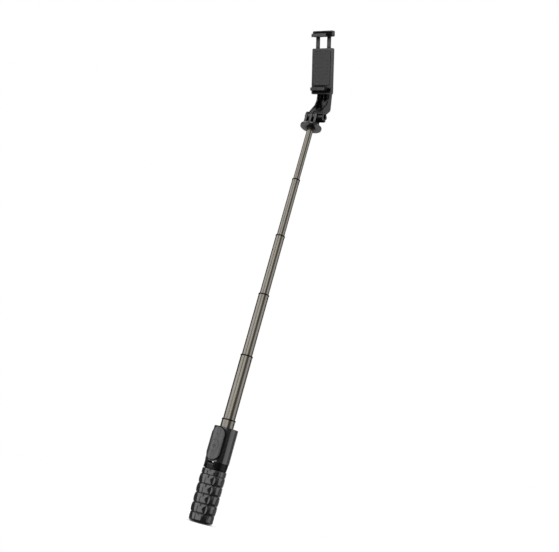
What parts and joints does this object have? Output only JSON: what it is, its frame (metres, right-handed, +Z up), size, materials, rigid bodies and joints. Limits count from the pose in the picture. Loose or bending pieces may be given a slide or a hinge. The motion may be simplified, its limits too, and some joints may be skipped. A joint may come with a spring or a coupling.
{
  "type": "selfie stick",
  "caption": "Telescopic selfie stick with a studded grip that opens into a tripod, a pull-off remote, a tilting arm and a sprung phone clamp.",
  "frame": {"origin": "on the pole's axis, at the bottom face of the closed grip", "axes": "+Z up the pole, -Y to the front, where the remote and the phone's screen face, +X to the right seen from behind the remote's face"},
  "size_m": [0.0337, 0.0717, 0.6917],
  "materials": {
    "leg_plastic": "satin moulded charcoal plastic, smooth between the cut grooves",
    "housing_plastic": "satin moulded charcoal plastic",
    "dark_plastic": "fine-grained black plastic",
    "head_plastic": "black glass-filled plastic with a low sheen",
    "cap_plastic": "semi-gloss black plastic",
    "collar_plastic": "smooth black plastic",
    "shoe_plastic": "natural low-friction plastic",
    "pole_metal": "anodised warm gunmetal tube with a faint drawn grain",
    "screw_steel": "plated steel",
    "spring_steel": "drawn steel wire",
    "pad_rubber": "soft matt black rubber",
    "remote_plastic": "satin charcoal plastic",
    "button_plastic": "satin dark grey plastic with a ring marked in it",
    "board": "green solder mask",
    "cell_metal": "bright nickel",
    "lens_clear": "clear moulded light pin"
  },
  "bodies": {
    "handle": {"handle_housing": "housing_plastic", "hinge_hub": "dark_plastic", "hinge_pins": "screw_steel", "hub_screws": "screw_steel", "housing_ring": "dark_plastic", "remote_cradle": "dark_plastic", "tube_1": "pole_metal", "collar_1": "collar_plastic"},
    "front_leg": {"front_leg_shell": "leg_plastic", "front_leg_cover": "dark_plastic", "front_leg_screws": "screw_steel", "front_leg_foot": "pad_rubber"},
    "right_leg": {"right_leg_shell": "leg_plastic", "right_leg_cover": "dark_plastic", "right_leg_screws": "screw_steel", "right_leg_foot": "pad_rubber"},
    "left_leg": {"left_leg_shell": "leg_plastic", "left_leg_cover": "dark_plastic", "left_leg_screws": "screw_steel", "left_leg_foot": "pad_rubber"},
    "remote": {"remote_back_shell": "remote_plastic", "remote_front_shell": "remote_plastic", "remote_board": "board", "remote_cell": "cell_metal", "remote_lens": "lens_clear"},
    "button": {"remote_button": "button_plastic"},
    "stage_2": {"tube_2": "pole_metal", "collar_2": "collar_plastic", "friction_shoe_2": "shoe_plastic"},
    "stage_3": {"tube_3": "pole_metal", "collar_3": "collar_plastic", "friction_shoe_3": "shoe_plastic"},
    "stage_4": {"tube_4": "pole_metal", "collar_4": "collar_plastic", "friction_shoe_4": "shoe_plastic"},
    "stage_5": {"tube_5": "pole_metal", "collar_5": "collar_plastic", "friction_shoe_5": "shoe_plastic"},
    "stage_6": {"tube_6": "pole_metal", "friction_shoe_6": "shoe_plastic", "pole_plug": "dark_plastic", "cap_disc": "cap_plastic", "head_stud": "screw_steel", "tilt_base": "head_plastic", "tilt_nut": "screw_steel"},
    "knob": {"thumb_knob": "head_plastic", "tilt_bolt": "screw_steel"},
    "arm": {"tilt_arm": "head_plastic", "swivel_washer": "shoe_plastic"},
    "clamp": {"clamp_body": "head_plastic", "clamp_rear_cover": "head_plastic", "clamp_screws": "screw_steel", "clamp_back_pad": "pad_rubber", "clamp_springs": "spring_steel", "lower_jaw_pad": "pad_rubber", "swivel_bolt": "screw_steel", "swivel_nut": "screw_steel"},
    "jaw": {"upper_jaw": "head_plastic", "upper_jaw_pad": "pad_rubber"}
  },
  "joints": [
    {"name": "front_leg_hinge", "type": "hinge", "parent": "handle", "child": "front_leg", "pos_m": [0, -0.01185, 0.07135], "axis": [-1, 0, 0], "range_deg": [0, 60]},
    {"name": "right_leg_hinge", "type": "hinge", "parent": "handle", "child": "right_leg", "pos_m": [0.01026, 0.00592, 0.07135], "axis": [0.5, -0.866, 0], "range_deg": [0, 60]},
    {"name": "left_leg_hinge", "type": "hinge", "parent": "handle", "child": "left_leg", "pos_m": [-0.01026, 0.00592, 0.07135], "axis": [0.5, 0.866, 0], "range_deg": [0, 60]},
    {"name": "stage_2_slide", "type": "slide", "parent": "handle", "child": "stage_2", "axis": [0, 0, 1], "range_m": [-0.0839, 0]},
    {"name": "stage_3_slide", "type": "slide", "parent": "stage_2", "child": "stage_3", "axis": [0, 0, 1], "range_m": [-0.0839, 0]},
    {"name": "stage_4_slide", "type": "slide", "parent": "stage_3", "child": "stage_4", "axis": [0, 0, 1], "range_m": [-0.0839, 0]},
    {"name": "stage_5_slide", "type": "slide", "parent": "stage_4", "child": "stage_5", "axis": [0, 0, 1], "range_m": [-0.0839, 0]},
    {"name": "stage_6_slide", "type": "slide", "parent": "stage_5", "child": "stage_6", "axis": [0, 0, 1], "range_m": [-0.0787, 0]},
    {"name": "head_tilt", "type": "hinge", "parent": "stage_6", "child": "arm", "pos_m": [0, 0, 0.5733], "axis": [1, 0, 0], "range_deg": [-55, 125]},
    {"name": "knob_turn", "type": "hinge", "parent": "stage_6", "child": "knob", "pos_m": [0, 0, 0.5733], "axis": [1, 0, 0], "continuous": true},
    {"name": "clamp_swivel", "type": "hinge", "parent": "arm", "child": "clamp", "pos_m": [0, -0.01881, 0.65078], "axis": [0, -0.866, -0.5], "range_deg": [-180, 90]},
    {"name": "jaw_slide", "type": "slide", "parent": "clamp", "child": "jaw", "axis": [0, -0.5, 0.866], "range_m": [-0.0155, 0.014], "stiffness_N_per_m": 150, "springref_m": -0.06, "deforming": ["clamp_springs"]},
    {"name": "remote_release", "type": "slide", "parent": "handle", "child": "remote", "axis": [0, -1, 0], "range_m": [0, 0.03]},
    {"name": "button_press", "type": "slide", "parent": "remote", "child": "button", "axis": [0, 1, 0], "range_m": [0, 0.0004], "stiffness_N_per_m": 1500, "springref_m": -0.001}
  ]
}
